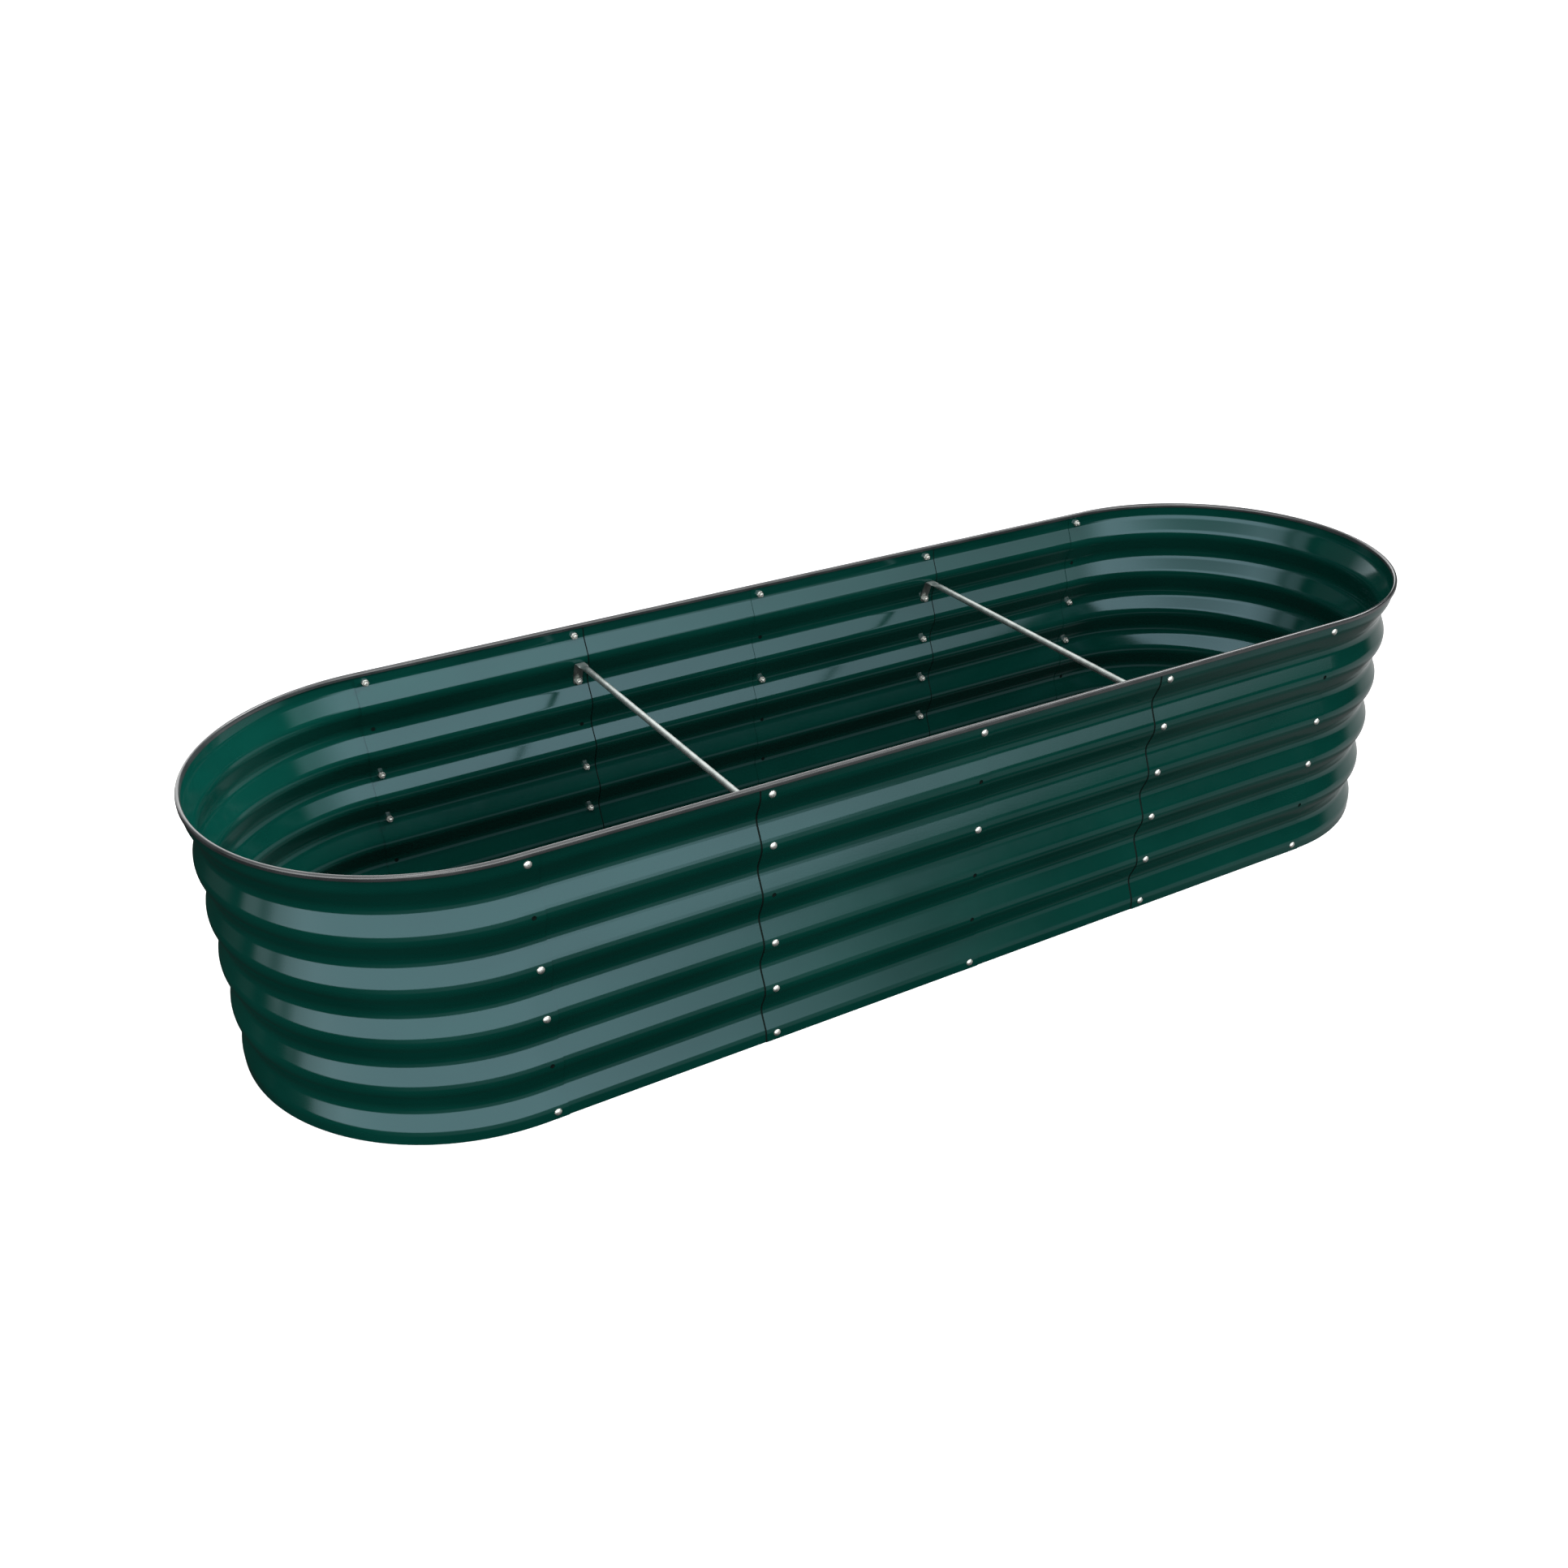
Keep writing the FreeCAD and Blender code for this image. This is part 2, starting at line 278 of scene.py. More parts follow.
def addRange(nodes, links, source, low, high, start=0, end=1):
    spread = nodes.new("ShaderNodeMapRange")
    spread.inputs["From Min"].default_value = start
    spread.inputs["From Max"].default_value = end
    spread.inputs["To Min"].default_value = low
    spread.inputs["To Max"].default_value = high
    links.new(source, spread.inputs["Value"])
    return spread.outputs["Result"]


def addMath(nodes, links, operation, first, second=0):
    node = nodes.new("ShaderNodeMath")
    node.operation = operation
    for socket, value in zip(node.inputs, (first, second)):
        if isinstance(value, (int, float)):
            socket.default_value = value
        else:
            links.new(value, socket)
    return node.outputs["Value"]


def addBump(nodes, links, noise, strength, distance, before=None):
    bump = nodes.new("ShaderNodeBump")
    bump.inputs["Strength"].default_value = strength
    bump.inputs["Distance"].default_value = distance
    links.new(noise.outputs["Fac"], bump.inputs["Height"])
    if before:
        links.new(before, bump.inputs["Normal"])
    return bump.outputs["Normal"]


def colorBy(nodes, links, shader, noise, positions, colors):
    tone = addRamp(nodes, links, noise.outputs["Fac"], list(zip(positions, colors)))
    links.new(tone, shader.inputs["Base Color"])


def roughenBy(nodes, links, shader, noise, look):
    rough = addRange(nodes, links, noise.outputs["Fac"], look["roughLow"], look["roughHigh"])
    links.new(rough, shader.inputs["Roughness"])


paintLook = {
    "deep": (0.0006, 0.0224, 0.0168, 1),
    "light": (0.0010, 0.0286, 0.0214, 1),
    "toneStops": (0.32, 0.70),
    "cloudScale": 5.5,
    "cloudDetail": 4,
    "cloudStretch": (1, 1, 2.2),
    "grainScale": 38,
    "grainDetail": 5,
    "roughLow": 0.08,
    "roughHigh": 0.13,
    "shine": (0.56, 0.85, 1, 1),  # cool tint of the highlights
    "bendScale": 3.2,  # long soft unevenness of the sheet
    "bendDetail": 1,
    "bendStrength": 0.5,
    "bendDepth": 0.0012,
    "peelScale": 520,  # fine unevenness of the paint
    "peelDetail": 2,
    "peelStrength": 0.35,
    "peelDepth": 0.00004,
}


def makePaint(look):
    material, nodes, links, shader = newMaterial("greenPaint")
    cloud = addNoise(nodes, links, look["cloudScale"], look["cloudDetail"], look["cloudStretch"])
    colorBy(nodes, links, shader, cloud, look["toneStops"], (look["deep"], look["light"]))
    grain = addNoise(nodes, links, look["grainScale"], look["grainDetail"])
    roughenBy(nodes, links, shader, grain, look)
    bend = addNoise(nodes, links, look["bendScale"], look["bendDetail"])
    peel = addNoise(nodes, links, look["peelScale"], look["peelDetail"])
    bent = addBump(nodes, links, bend, look["bendStrength"], look["bendDepth"])
    peeled = addBump(nodes, links, peel, look["peelStrength"], look["peelDepth"], bent)
    links.new(peeled, shader.inputs["Normal"])
    shader.inputs["Specular Tint"].default_value = look["shine"]
    return material


zincLook = {
    "toneStops": (0.35, 0.62),
    "spangleDetail": 3,
    "scratchScale": 4,  # times the scale of the spangle
    "scratchDetail": 4,
    "scratchStretch": (1, 6, 1),
    "scratchStrength": 0.2,
    "scratchDepth": 0.00003,
}
boltLook = {
    "dull": (0.60, 0.61, 0.58, 1),
    "bright": (0.74, 0.75, 0.71, 1),
    "spangleScale": 300,
    "roughLow": 0.38,
    "roughHigh": 0.50,
}
rodLook = {
    "dull": (0.26, 0.29, 0.275, 1),
    "bright": (0.36, 0.39, 0.375, 1),
    "spangleScale": 60,
    "roughLow": 0.40,
    "roughHigh": 0.50,
}


def makeZinc(name, look):
    material, nodes, links, shader = newMaterial(name)
    spangle = addNoise(nodes, links, look["spangleScale"], zincLook["spangleDetail"])
    colorBy(nodes, links, shader, spangle, zincLook["toneStops"], (look["dull"], look["bright"]))
    roughenBy(nodes, links, shader, spangle, look)
    scale = look["spangleScale"]*zincLook["scratchScale"]
    scratch = addNoise(nodes, links, scale, zincLook["scratchDetail"], zincLook["scratchStretch"])
    scratched = addBump(nodes, links, scratch, zincLook["scratchStrength"], zincLook["scratchDepth"])
    links.new(scratched, shader.inputs["Normal"])
    shader.inputs["Metallic"].default_value = 1
    return material


grainLook = {
    "toneStops": (0.36, 0.68),
    "bloomScale": 26,
    "bloomDetail": 5,
    "grainScale": 900,
    "grainDetail": 2,
    "grainStrength": 0.25,
    "grainDepth": 0.00005,
}
rubberLook = {
    "dark": (0.014, 0.016, 0.017, 1),
    "pale": (0.024, 0.027, 0.028, 1),
    "roughLow": 0.18,
    "roughHigh": 0.27,
    "shine": 0.9,
}
# near-black look of the painted shade: the lap strips and the discs in the open bolt holes
paintedShadeLook = {
    "dark": (0.0006, 0.0030, 0.0025, 1),
    "pale": (0.0012, 0.0050, 0.0040, 1),
    "roughLow": 0.60,
    "roughHigh": 0.75,
    "shine": 0.08,
}


def makeDarkDielectric(name, look):
    material, nodes, links, shader = newMaterial(name)
    bloom = addNoise(nodes, links, grainLook["bloomScale"], grainLook["bloomDetail"])
    colorBy(nodes, links, shader, bloom, grainLook["toneStops"], (look["dark"], look["pale"]))
    roughenBy(nodes, links, shader, bloom, look)
    grain = addNoise(nodes, links, grainLook["grainScale"], grainLook["grainDetail"])
    grained = addBump(nodes, links, grain, grainLook["grainStrength"], grainLook["grainDepth"])
    links.new(grained, shader.inputs["Normal"])
    shader.inputs["Specular IOR Level"].default_value = look["shine"]
    return material


greenPaint = makePaint(paintLook)
boltZinc = makeZinc("boltZinc", boltLook)
rodZinc = makeZinc("rodZinc", rodLook)
darkRubber = makeDarkDielectric("darkRubber", rubberLook)
# painted shade: the near-black of the lap strips and the open hole discs
paintedShadeBlack = makeDarkDielectric("paintedShadeBlack", paintedShadeLook)
print("materials ready")


panel = {
    "crestBend": 0.0260,  # radius of the soft bend along a crest
    "valleyBend": 0.0215,
    "bendSteps": 6,  # faces from the flank to the middle of a bend
    "flankEdge": 0.0012,  # narrow face that keeps the flank flat beside a bend
    "leanLimits": (0.05, 1.0),  # radians, between which the lean of the flanks is looked for
    "leanTries": 40,
    "columns": 46,  # faces along a straight panel
    "roundSteps": 96,  # faces round a half-round end
    "tailSteps": 4,  # faces along the straight tail of an end
    "hole": 0.0034,
    "holeSides": 20,
    "drillLength": 0.7488,  # reaches through both walls
    "shadeAngle": 30,
}


def flankLean():
    # lean of the flanks from upright that joins the two bends at the right depth
    both = panel["crestBend"] + panel["valleyBend"]
    low, high = panel["leanLimits"]
    for halving in range(panel["leanTries"]):
        lean = (low + high)/2
        flat = bed["wavePitch"]/2 - both*math.sin(lean)
        depth = both*(1 - math.cos(lean)) + flat*math.tan(lean)
        low, high = (lean, high) if depth < bed["waveDepth"] else (low, lean)
    return lean


def risingFlank(lean, crest, upward):
    # (depth, height) from the middle of a crest to the middle of the next valley
    way = 1 if upward else -1
    crestBend, valleyBend = panel["crestBend"], panel["valleyBend"]
    turns = [lean*step/panel["bendSteps"] for step in range(panel["bendSteps"] + 1)]
    crestPart = [(crestBend*(1 - math.cos(turn)), crestBend*math.sin(turn)) for turn in turns]
    half = bed["wavePitch"]/2
    valleyPart = [
        (bed["waveDepth"] - valleyBend*(1 - math.cos(turn)), half - valleyBend*math.sin(turn))
        for turn in reversed(turns)
    ]
    edge = panel["flankEdge"]
    near = (crestPart[-1][0] + edge*math.sin(lean), crestPart[-1][1] + edge*math.cos(lean))
    far = (valleyPart[0][0] - edge*math.sin(lean), valleyPart[0][1] - edge*math.cos(lean))
    return [(depth, crest + way*rise) for depth, rise in crestPart + [near, far] + valleyPart]


def waveLine():
    # (depth, height) from the ground to the top of a panel
    lean = flankLean()
    line = [(0, 0)]
    for wave in range(bed["waves"]):
        crest = bed["lowestCrest"] + wave*bed["wavePitch"]
        line += risingFlank(lean, crest, True)
        line += risingFlank(lean, crest + bed["wavePitch"], False)[-2::-1]
    return line + [(0, bed["top"])]


def sheetLine(name, along, face):
    # the section of a panel at one place along the front wall
    points = [(along, depth - face, height) for depth, height in waveLine()]
    piece = startPoint(name, points[0])
    drawLine(points)
    return piece


def punchHoles(piece, columns):
    rows = range(1, bed["waves"] + 2)
    drills = [
        addCylinder(panel["hole"], panel["drillLength"], (along, 0, rowHeight(row)), panel["holeSides"])
        for along in columns for row in rows
    ]
    cutAway(piece, joinPieces(drills))


def thickenSheet(piece, outward):
    tidyNormals(piece, outward)
    closeEdit()
    applyModifier(piece, "SOLIDIFY", thickness=bed["sheet"], offset=-1, use_even_offset=True)


def makeStraightPanel():
    # an outer panel in the middle of the front wall, copied for the others
    half = bed["seamPitch"]/2 + bed["margin"]
    piece = sheetLine("straightPanel", -half, bed["radius"])
    for column in range(panel["columns"]):
        extrudeTo((2*half/panel["columns"], 0, 0))
    thickenSheet(piece, lambda place: Vector((0, -1, 0)))
    punchHoles(piece, (-bed["seamPitch"]/2, bed["seamPitch"]/2))
    shade(piece, panel["shadeAngle"])
    return piece


def makeEndPanel(name, face):
    # made at the right, and turned half round afterwards for the left
    tail = 2*bed["margin"]
    piece = sheetLine(name, arcStart - tail, face)
    for step in range(panel["tailSteps"]):
        extrudeTo((tail/panel["tailSteps"], 0, 0))
    spinRound(panel["roundSteps"], (arcStart, 0, 0))
    for step in range(panel["tailSteps"]):
        extrudeTo((-tail/panel["tailSteps"], 0, 0))
    thickenSheet(piece, lambda place: Vector((place.x - arcStart, place.y, 0)))
    punchHoles(piece, (arcStart - bed["margin"],))
    shade(piece, panel["shadeAngle"])
    return piece


straightPanel = makeStraightPanel()
# the panels of a wall: name, middle in seam pitches, and whether it sits inside its neighbours
spans = (("ab", -1.5, True), ("bc", -0.5, False), ("cd", 0.5, True), ("de", 1.5, False))
for span, middle, isInner in spans:
    inward = bed["innerStep"] if isInner else 0
    for wall, turned in walls:
        along = middle*bed["seamPitch"]*(-1 if turned else 1)
        copied = copyPiece(straightPanel, f"{wall}Panel{span.upper()}")
        movePiece(copied, (along, inward, 0), turned)
        finishPiece(copied, f"{wall}_panel_{span}", greenPaint)
discard(straightPanel)
rightEnd = makeEndPanel("rightEndPanel", bed["radius"] - bed["innerStep"])
finishPiece(rightEnd, "right_end_panel", greenPaint)
leftEnd = makeEndPanel("leftEndPanel", bed["radius"])
movePiece(leftEnd, (0, 0, 0), turned=True)
finishPiece(leftEnd, "left_end_panel", greenPaint)
print("panels ready")


bolt = {
    "radius": 0.0053,
    "sides": 36,
    "rim": 0.0005,
    "height": 0.0033,
    "domeSteps": 8,
    "domeEnd": 78,  # degrees up the dome where the recess starts
    "recessEdge": 0.0003,
    "recessSlope": 0.0001,
    "recessDepth": 0.0007,
    "shankRadius": 0.0030,
    "shankLength": 0.0120,
    "tip": 0.0006,
    "middle": 0.002,  # a place inside the bolt, behind its seat
    "shadeAngle": 35,
    "rows": {
        "a": (1, 3, 4, 6),
        "b": (1, 2, 4, 5, 6),
        "c": (1, 3, 6),
        "d": (1, 2, 3, 4, 5, 6),
        "e": (1, 3, 4, 6),
    },
}
nut = {
    "across": 0.0100,
    "height": 0.0050,
    "bevel": 0.0005,
    "mouth": 0.0004,
    "shadeAngle": 30,
}


def makeBolt():
    # a domed head on y = 0 that points to the front, with its shank behind
    piece = addTurned("bolt", bolt["radius"], bolt["rim"], (0, -bolt["rim"]/2, 0), bolt["sides"])
    openEdit(piece)
    pickFaces(piece, -1)
    dome = bolt["height"] - bolt["rim"]
    turns = [math.radians(bolt["domeEnd"])*step/bolt["domeSteps"] for step in range(bolt["domeSteps"] + 1)]
    for before, after in zip(turns, turns[1:]):
        inset = bolt["radius"]*(math.cos(before) - math.cos(after))
        bpy.ops.mesh.inset(thickness=inset, depth=dome*(math.sin(after) - math.sin(before)))
    bpy.ops.mesh.inset(thickness=bolt["recessEdge"], depth=0)
    bpy.ops.mesh.inset(thickness=bolt["recessSlope"], depth=-bolt["recessDepth"])
    pickFaces(piece, 1)
    bpy.ops.mesh.inset(thickness=bolt["radius"] - bolt["shankRadius"], depth=0)
    extrudeTo((0, bolt["shankLength"] - bolt["tip"], 0))
    bpy.ops.mesh.inset(thickness=bolt["tip"], depth=bolt["tip"])
    tidyNormals(piece, lambda place: place - Vector((0, bolt["middle"], 0)))
    closeEdit()
    shade(piece, bolt["shadeAngle"])
    return piece


def makeNut():
    # a nut whose seat is y = 0, turned so that flats are above and below
    corner = nut["across"]/math.sqrt(3)
    piece = addTurned("nut", corner, nut["height"], (0, nut["height"]/2, 0), 6)
    openEdit(piece)
    bpy.ops.transform.rotate(value=math.pi/6, orient_axis="Y", center_override=(0, 0, 0))
    pickFaces(piece, 1)
    bpy.ops.mesh.inset(thickness=nut["across"]/2 - bolt["shankRadius"] - nut["mouth"], depth=0)
    bpy.ops.mesh.inset(thickness=nut["mouth"], depth=-nut["mouth"])
    closeEdit()
    bevelEdges(piece, nut["bevel"])
    shade(piece, nut["shadeAngle"])
    return piece


def placeGroup(template, name, along, seats, turned):
    # copies one small piece to each (depth, height) seat of a seam
    piece = copyPiece(template, name)
    openEdit(piece)
    side = -1 if turned else 1
    before = Vector((0, 0, 0))
    for count, (depth, height) in enumerate(seats):
        place = Vector((side*along, -depth, height))
        if count:
            bpy.ops.mesh.duplicate_move(TRANSFORM_OT_translate={"value": place - before})
        else:
            bpy.ops.transform.translate(value=place)
        before = place
    bpy.ops.mesh.select_all(action="SELECT")
    if turned:
        turnHalfRound()
    closeEdit()
    return piece


boltTemplate = makeBolt()
nutTemplate = makeNut()
for seam, rows in bolt["rows"].items():
    along = seamPlaces[seam]*bed["seamPitch"]
    strapRow = rodRow if seam in rodSeams else None
    headSeats = [(bed["radius"], rowHeight(row)) for row in rows]
    nutSeats = [(insideFace - (bed["strap"] if row == strapRow else 0), rowHeight(row)) for row in rows]
    for wall, turned in walls:
        heads = placeGroup(boltTemplate, f"{wall}Bolts{seam.upper()}", along, headSeats, turned)
        finishPiece(heads, f"{wall}_bolts_{seam}", boltZinc)
        heads.visible_glossy = False
        nuts = placeGroup(nutTemplate, f"{wall}Nuts{seam.upper()}", along, nutSeats, turned)
        finishPiece(nuts, f"{wall}_nuts_{seam}", boltZinc)
discard(boltTemplate)
discard(nutTemplate)
print("bolts and nuts ready")


# painted shadow: dark strips along the laps where the rods are, standing in for the shadow line beside an
# outer panel's edge
shadowBead = {
    "width": 0.0022,
    "rise": 0.0007,  # above the panel under it
    "slope": 0.0009,
    "thickness": 0.00063,
    "shadeAngle": 40,
}


def makeShadowBead(name, edge):
    # a painted shadow line that runs up the front wall on the left of an outer panel's edge
    piece = sheetLine(name, edge, bed["radius"] - bed["innerStep"] + shadowBead["rise"])
    extrudeTo((shadowBead["slope"] - shadowBead["width"], 0, 0))
    extrudeTo((-shadowBead["slope"], shadowBead["rise"], 0))
    tidyNormals(piece, lambda place: Vector((0, -1, 0)))
    closeEdit()
    applyModifier(piece, "SOLIDIFY", thickness=shadowBead["thickness"], offset=-1)
    shade(piece, shadowBead["shadeAngle"])
    return piece


for seam in rodSeams:
    edge = seamPlaces[seam]*bed["seamPitch"] - bed["margin"]
    for wall, turned in walls:
        lapShadowBead = makeShadowBead(f"{wall}LapShadowBead{seam.upper()}", edge)
        # a fault left open: the back's beads come out at the other seam, sunk in the outer sheet
        if turned:
            movePiece(lapShadowBead, (0, 0, 0), turned)
        finishPaintedShade(lapShadowBead)
print("lap beads ready")


# painted shade: dark discs set back in the bolt holes that have no bolt, standing in for the shade inside
# the open holes
holeShade = {
    "radius": 0.0034,
    "sides": 20,
    "face": 0.3110,  # front of the disc, from the middle of the bed
    "thickness": 0.0007,
    "rim": 0.00102,
    "slope": 0.00068,
    "dish": 0.0003,
}


def makeHoleShade():
    # a dark disc that stands in for the shade inside an open bolt hole
    piece = addTurned(
        "holeShade", holeShade["radius"], holeShade["thickness"], (0, holeShade["thickness"]/2, 0), holeShade["sides"])
    openEdit(piece)
    pickFaces(piece, -1)
    bpy.ops.mesh.inset(thickness=holeShade["rim"], depth=0)
    bpy.ops.mesh.inset(thickness=holeShade["slope"], depth=-holeShade["dish"])
    closeEdit()
    return piece


holeShadeTemplate = makeHoleShade()
for seam, rows in bolt["rows"].items():
    seats = [(holeShade["face"], rowHeight(row)) for row in range(1, bed["waves"] + 2) if row not in rows]
    if not seats:
        continue
    along = seamPlaces[seam]*bed["seamPitch"]
    for wall, turned in walls:
        finishPaintedShade(placeGroup(holeShadeTemplate, f"{wall}HoleShades{seam.upper()}", along, seats, turned))
discard(holeShadeTemplate)
print("blanks ready")


edging = {
    "outer": 0.3148,
    "width": 0.0064,
    "crown": 0.0042,  # height of the rounded top
    "bottom": 0.4015,
    "slotOuter": 0.3122,
    "slotInner": 0.3100,
    "legRound": 0.0006,
    "topSteps": 14,
    "butt": 0.168,  # where the ends of the strip meet, at the back
    "gap": 0.001,
    "roundSteps": 96,
    "shadeAngle": 35,
}


def edgingLine():
    # (radius, height) round the section, from the inner leg's foot
    outer, width, foot = edging["outer"], edging["width"], edging["bottom"]
    soft = edging["legRound"]
    inner = outer - width
    middle = outer - width/2
    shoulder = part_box("rim_edging")[1][2] - edging["crown"]
    turns = [math.pi*step/edging["topSteps"] for step in range(edging["topSteps"] + 1)]
    crown = [
        (middle - width/2*math.cos(turn), shoulder + edging["crown"]*math.sin(turn)) for turn in turns
    ]
    return [(inner + soft, foot), (inner, foot + soft)] + crown + [
        (outer, foot + soft),
        (outer - soft, foot),
        (edging["slotOuter"] + soft/2, foot),
        (edging["slotOuter"], foot + soft/2),
        (edging["slotOuter"], bed["top"]),
        (edging["slotInner"], bed["top"]),
        (edging["slotInner"], foot + soft/2),
        (edging["slotInner"] - soft/2, foot),
    ]


def makeEdging():
    # one strip round the bed, from one side of the butt joint to the other
    start = edging["butt"] - edging["gap"]
    points = [(start, reach, height) for reach, height in edgingLine()]
    piece = startPoint("rimEdging", points[0])
    drawLine(points + points[:1])
    mergeDoubles()
    bpy.ops.mesh.select_all(action="SELECT")
    extrudeTo((-arcStart - start, 0, 0))
    spinRound(edging["roundSteps"], (-arcStart, 0, 0))
    extrudeTo((2*arcStart, 0, 0))
    spinRound(edging["roundSteps"], (arcStart, 0, 0))
    extrudeTo((edging["butt"] - arcStart, 0, 0))
    mergeDoubles()
    bpy.ops.mesh.select_all(action="DESELECT")
    bpy.ops.mesh.select_non_manifold(extend=False)
    bpy.ops.mesh.fill()
    bpy.ops.mesh.select_all(action="SELECT")
    bpy.ops.mesh.normals_make_consistent(inside=False)
    closeEdit()
    shade(piece, edging["shadeAngle"])
    return piece


rimEdging = makeEdging()
finishPiece(rimEdging, "rim_edging", darkRubber)
print("edging ready")


rod = {
    "radius": 0.005,
    "height": 0.350,
    "tubeEnd": 0.2607,
    "flare": [  # distance past the tube, half width, half height
        (0.004, 0.0051, 0.0048), (0.009, 0.0058, 0.0037), (0.014, 0.0067, 0.0025),
        (0.019, 0.0074, 0.0015), (0.024, 0.0077, 0.00098),
    ],
    "flareSides": 32,
    "tubeShadeAngle": 40,
    "strapStart": 0.2790,
    "strapWidth": 0.0156,
    "knee": (0.2958, 0.350),  # (depth, height) on the middle of the strap
    "heel": (0.3092, 0.3207),
    "foot": (0.3092, 0.3102),
    "bendRadius": 0.0035,
    "bendSteps": 5,
    "toeRound": 0.0040,
    "toeSteps": 6,
    "toeReach": 0.0001,  # height within which a corner belongs to the toe
    "edgeRound": 0.0003,
    "hole": 0.0034,
    "holeSides": 24,
    "drillLength": 0.05,
    "strapShadeAngle": 35,
}


def roundCorner(before, corner, after, radius, steps):
    # points of an arc that replaces a corner of a line in (depth, height)
    before, corner, after = Vector(before), Vector(corner), Vector(after)
    inward, outward = (before - corner).normalized(), (after - corner).normalized()
    half = inward.angle(outward)/2
    cut = radius/math.tan(half)
    centre = corner + (inward + outward).normalized()*radius/math.sin(half)
    start, end = corner + inward*cut - centre, corner + outward*cut - centre
    sweep = start.angle(end)
    return [
        centre + (start*math.sin(sweep*(1 - share)) + end*math.sin(sweep*share))/math.sin(sweep)
        for share in [step/steps for step in range(steps + 1)]
    ]


def makeTube():
    # the round tube, with both ends flared out flat
    middle = (0, 0, rod["height"])
    piece = addTurned("tube", rod["radius"], 2*rod["tubeEnd"], middle, rod["flareSides"])
    for side in (-1, 1):
        openEdit(piece)
        pickFaces(piece, side)
        width, height, reach = rod["radius"], rod["radius"], 0
        for distance, nextWidth, nextHeight in rod["flare"]:
            extrudeTo((0, side*(distance - reach), 0))
            stretch = (nextWidth/width, 1, nextHeight/height)
            bpy.ops.transform.resize(value=stretch, center_override=middle)
            width, height, reach = nextWidth, nextHeight, distance
        closeEdit()
    shade(piece, rod["tubeShadeAngle"])
    return piece


def roundToe(piece):
    bpy.ops.mesh.select_mode(type="VERT")
    form = bmesh.from_edit_mesh(piece.data)
    for point in form.verts:
        point.select_set(abs(point.co.z - rod["foot"][1]) < rod["toeReach"])
    bmesh.update_edit_mesh(piece.data)
    bpy.ops.mesh.bevel(offset=rod["toeRound"], segments=rod["toeSteps"], affect="VERTICES")


def makeStrap():
    # the flattened end at the front, bent down the wall to its bolt
    knee, heel, foot = rod["knee"], rod["heel"], rod["foot"]
    start = Vector((rod["strapStart"], knee[1]))
    line = [start]
    line += roundCorner(start, knee, heel, rod["bendRadius"], rod["bendSteps"])
    line += roundCorner(knee, heel, foot, rod["bendRadius"], rod["bendSteps"])
    line.append(Vector(foot))
    points = [(-rod["strapWidth"]/2, -depth, height) for depth, height in line]
    piece = startPoint("strap", points[0])
    drawLine(points)
    extrudeTo((rod["strapWidth"], 0, 0))
    roundToe(piece)
    tidyNormals(piece, lambda place: Vector((0, -1, 0)))
    closeEdit()
    applyModifier(piece, "SOLIDIFY", thickness=bed["strap"], offset=0, use_even_offset=True)
    boltPlace = (0, -heel[0], rowHeight(rodRow))
    cutAway(piece, addCylinder(rod["hole"], rod["drillLength"], boltPlace, rod["holeSides"]))
    bevelEdges(piece, rod["edgeRound"])
    shade(piece, rod["strapShadeAngle"])
    return piece


def makeRod():
    tube = makeTube()
    nearStrap = makeStrap()
    farStrap = copyPiece(nearStrap, "farStrap")
    movePiece(farStrap, (0, 0, 0), turned=True)
    joined = joinPieces((tube, nearStrap, farStrap))
    rename(joined, "tieRod")
    return joined


rodTemplate = makeRod()
for seam in rodSeams:
    tieRod = copyPiece(rodTemplate, f"tieRod{seam.upper()}")
    movePiece(tieRod, (seamPlaces[seam]*bed["seamPitch"], 0, 0))
    finishPiece(tieRod, f"tie_rod_{seam}", rodZinc)
discard(rodTemplate)
print("tie rods ready")


cameraView = {
    "place": (-1.1926, -1.8180, 1.3102),
    "yaw": 0.5238,  # radians, to the right of +Y
    "pitch": 0.5949,  # below the horizon
    "roll": -0.0158,
    "lens": 35.03,
    "sensor": 36.0,
    "shiftUp": 0.1111,
}


def placeCamera(view):
    yaw, pitch, roll = view["yaw"], view["pitch"], view["roll"]
    forward = Vector((math.sin(yaw)*math.cos(pitch), math.cos(yaw)*math.cos(pitch), -math.sin(pitch)))
    right = Vector((math.cos(yaw), -math.sin(yaw), 0))
    up = right.cross(forward)
    tiltedRight = right*math.cos(roll) + up*math.sin(roll)
    tiltedUp = up*math.cos(roll) - right*math.sin(roll)
    camera = bpy.data.objects.new("camera", bpy.data.cameras.new("camera"))
    bpy.context.scene.collection.objects.link(camera)
    turn = Matrix((tiltedRight, tiltedUp, -forward)).transposed().to_4x4()
    camera.matrix_world = Matrix.Translation(view["place"]) @ turn
    camera.data.lens = view["lens"]
    camera.data.sensor_width = view["sensor"]
    camera.data.shift_y = view["shiftUp"]
    bpy.context.scene.camera = camera


floorLook = {
    "size": 240,
    "color": (0.88, 0.88, 0.88, 1),
    "roughness": 0.9,
    "glow": 0.25,
}


def makeFloor(look):
    clearSelection()
    bpy.ops.mesh.primitive_plane_add(size=look["size"], location=(0, 0, 0))
    floor = bpy.context.object
    rename(floor, "floor")
    material, nodes, links, shader = newMaterial("floorPaper")
    shader.inputs["Base Color"].default_value = look["color"]
    shader.inputs["Roughness"].default_value = look["roughness"]
    shader.inputs["Emission Color"].default_value = (1, 1, 1, 1)
    shader.inputs["Emission Strength"].default_value = look["glow"]
    floor.data.materials.append(material)
    floor.visible_glossy = False
    floor.visible_diffuse = False


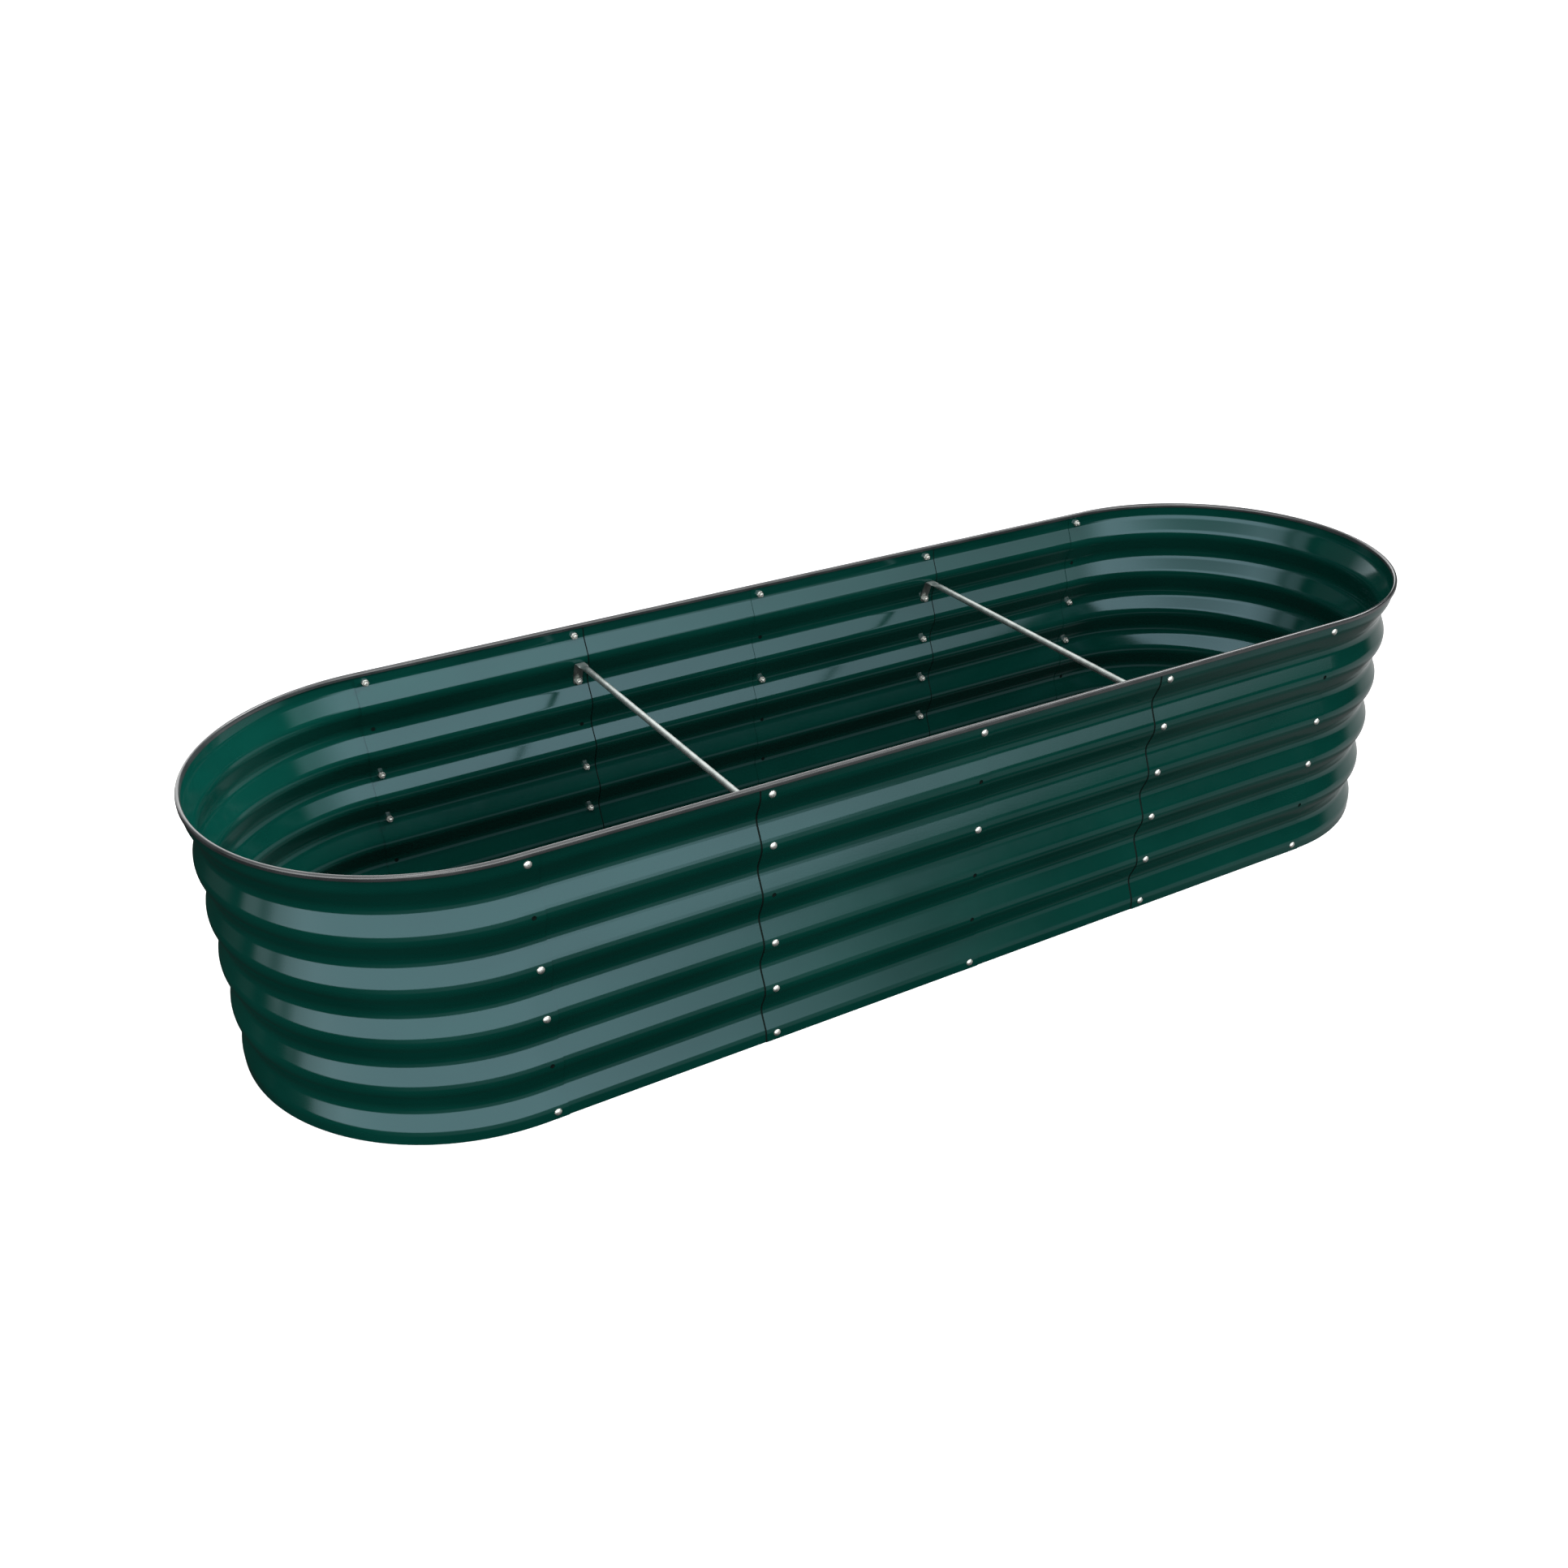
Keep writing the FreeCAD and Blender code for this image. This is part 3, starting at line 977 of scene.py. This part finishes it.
# Softboxes are bands of the sky. Each grows through its foot and fades out through its head, in degrees
# above the horizon. Its span gives its brightness by bearing, in degrees to the right of -Y.
softboxes = [
    {  # long box from the left round to the front
        "level": 3.6, "foot": (-3.5, -1.0), "head": (26, 33), "tilt": 0,
        "span": [
            (-118, 0), (-114, 0.26), (-108, 0.31), (-104, 0.18), (-101, 0.26), (-97, 0.60), (-90, 0.80),
            (-82, 1), (14, 1), (18, 0.85), (23, 0.62), (27, 0.33), (31, 0.10), (35, 0),
        ],
    },
    {  # a dimmer one higher on the right, with a foot that falls to the right
        "level": 3.6, "foot": (12.7, 13.8), "head": (26, 33), "tilt": 0.05,
        "span": [
            (14, 0), (19, 0.20), (24, 0.42), (29, 0.62), (33, 0.64),
            (37, 0.52), (41, 0.42), (47, 0.36), (53, 0),
        ],
    },
    {  # behind the bed
        "level": 2.6, "foot": (-12, -2), "head": (42, 50), "tilt": 0,
        "span": [
            (-180, 1), (-168, 0.7), (-152, 0.08), (-128, 0.06), (-122, 0),
            (136, 0), (142, 0.8), (150, 1), (180, 1),
        ],
    },
    {  # dim glow below the front box
        "level": 0.38, "foot": (-30, -24), "head": (-3.5, -1.0), "tilt": 0,
        "span": [(-70, 0), (-20, 1), (140, 1), (175, 0)],
    },
    {  # dim patch low on the right
        "level": 0.14, "foot": (-50, -45), "head": (-8, 0), "tilt": 0,
        "span": [(44, 0), (52, 1), (140, 1), (175, 0)],
    },
]
studio = {
    "spots": [  # bearing, height, inner and outer radius in degrees, strength
        (-30, 56, 8, 14, 6),
        (84, 40, 10, 18, 7),
    ],
    "topLight": 1.6,
    "topFoot": (30, 50),
    "topSides": (0.75, 1.25),  # left and right
    "ambient": 0.012,
}
insideLamp = {  # hangs above the middle and lights the inside of the left end
    "place": (0.25, -0.10, 1.15),
    "aim": (-0.97, 0.10, 0.36),
    "power": 150,
    "cone": 40,
    "radius": 0.12,
}


def addSoftbox(nodes, links, bearing, rise, box):
    tilt = addMath(nodes, links, "MULTIPLY", bearing, box["tilt"])
    tilted = addMath(nodes, links, "ADD", rise, tilt)
    foot = addRange(nodes, links, tilted, 0, box["level"], *box["foot"])
    head = addRange(nodes, links, rise, 1, 0, *box["head"])
    share = addRange(nodes, links, bearing, 0, 1, -180, 180)
    stops = [((turn + 180)/360, (level, level, level, 1)) for turn, level in box["span"]]
    light = addMath(nodes, links, "MULTIPLY", foot, head)
    return addMath(nodes, links, "MULTIPLY", light, addRamp(nodes, links, share, stops))


def addTopLight(nodes, links, toRight, rise):
    top = addRange(nodes, links, rise, 0, studio["topLight"], *studio["topFoot"])
    sides = addRange(nodes, links, toRight, *studio["topSides"], -1, 1)
    return addMath(nodes, links, "MULTIPLY", top, sides)


def addSpot(nodes, links, direction, turn, height, inner, outer, strength):
    turn, height = math.radians(turn), math.radians(height)
    match = nodes.new("ShaderNodeVectorMath")
    match.operation = "DOT_PRODUCT"
    links.new(direction, match.inputs[0])
    match.inputs[1].default_value = (
        math.sin(turn)*math.cos(height), -math.cos(turn)*math.cos(height), math.sin(height))
    edges = [math.cos(math.radians(angle)) for angle in (outer, inner)]
    return addRange(nodes, links, match.outputs["Value"], 0, strength, *edges)


def makeSky():
    world = bpy.data.worlds.new("studio")
    world.use_nodes = True
    nodes, links = world.node_tree.nodes, world.node_tree.links
    direction = nodes.new("ShaderNodeTexCoord").outputs["Generated"]
    split = nodes.new("ShaderNodeSeparateXYZ")
    links.new(direction, split.inputs["Vector"])
    toFront = addMath(nodes, links, "MULTIPLY", split.outputs["Y"], -1)
    turn = addMath(nodes, links, "ARCTAN2", split.outputs["X"], toFront)
    bearing = addMath(nodes, links, "DEGREES", turn)
    rise = addMath(nodes, links, "DEGREES", addMath(nodes, links, "ARCSINE", split.outputs["Z"]))
    lights = [addSoftbox(nodes, links, bearing, rise, box) for box in softboxes]
    lights.append(addTopLight(nodes, links, split.outputs["X"], rise))
    lights += [addSpot(nodes, links, direction, *spot) for spot in studio["spots"]]
    total = studio["ambient"]
    for light in lights:
        total = addMath(nodes, links, "ADD", light, total)
    path = nodes.new("ShaderNodeLightPath")
    total = addMath(nodes, links, "MAXIMUM", total, path.outputs["Is Camera Ray"])  # a white backdrop
    links.new(total, nodes["Background"].inputs["Strength"])
    nodes["Background"].inputs["Color"].default_value = (1, 1, 1, 1)
    bpy.context.scene.world = world


def makeLamp(look):
    lamp = bpy.data.lights.new("insideLamp", "SPOT")
    lamp.energy = look["power"]
    lamp.spot_size = math.radians(look["cone"])
    lamp.spot_blend = 1
    lamp.shadow_soft_size = look["radius"]
    holder = bpy.data.objects.new("insideLamp", lamp)
    holder.location = look["place"]
    aim = Vector(look["aim"]) - Vector(look["place"])
    holder.rotation_euler = aim.to_track_quat("-Z", "Y").to_euler()
    holder.visible_glossy = False
    holder.visible_camera = False
    bpy.context.scene.collection.objects.link(holder)


placeCamera(cameraView)
makeFloor(floorLook)
makeSky()
makeLamp(insideLamp)
bpy.context.scene.view_settings.view_transform = "Standard"
print("stage ready")
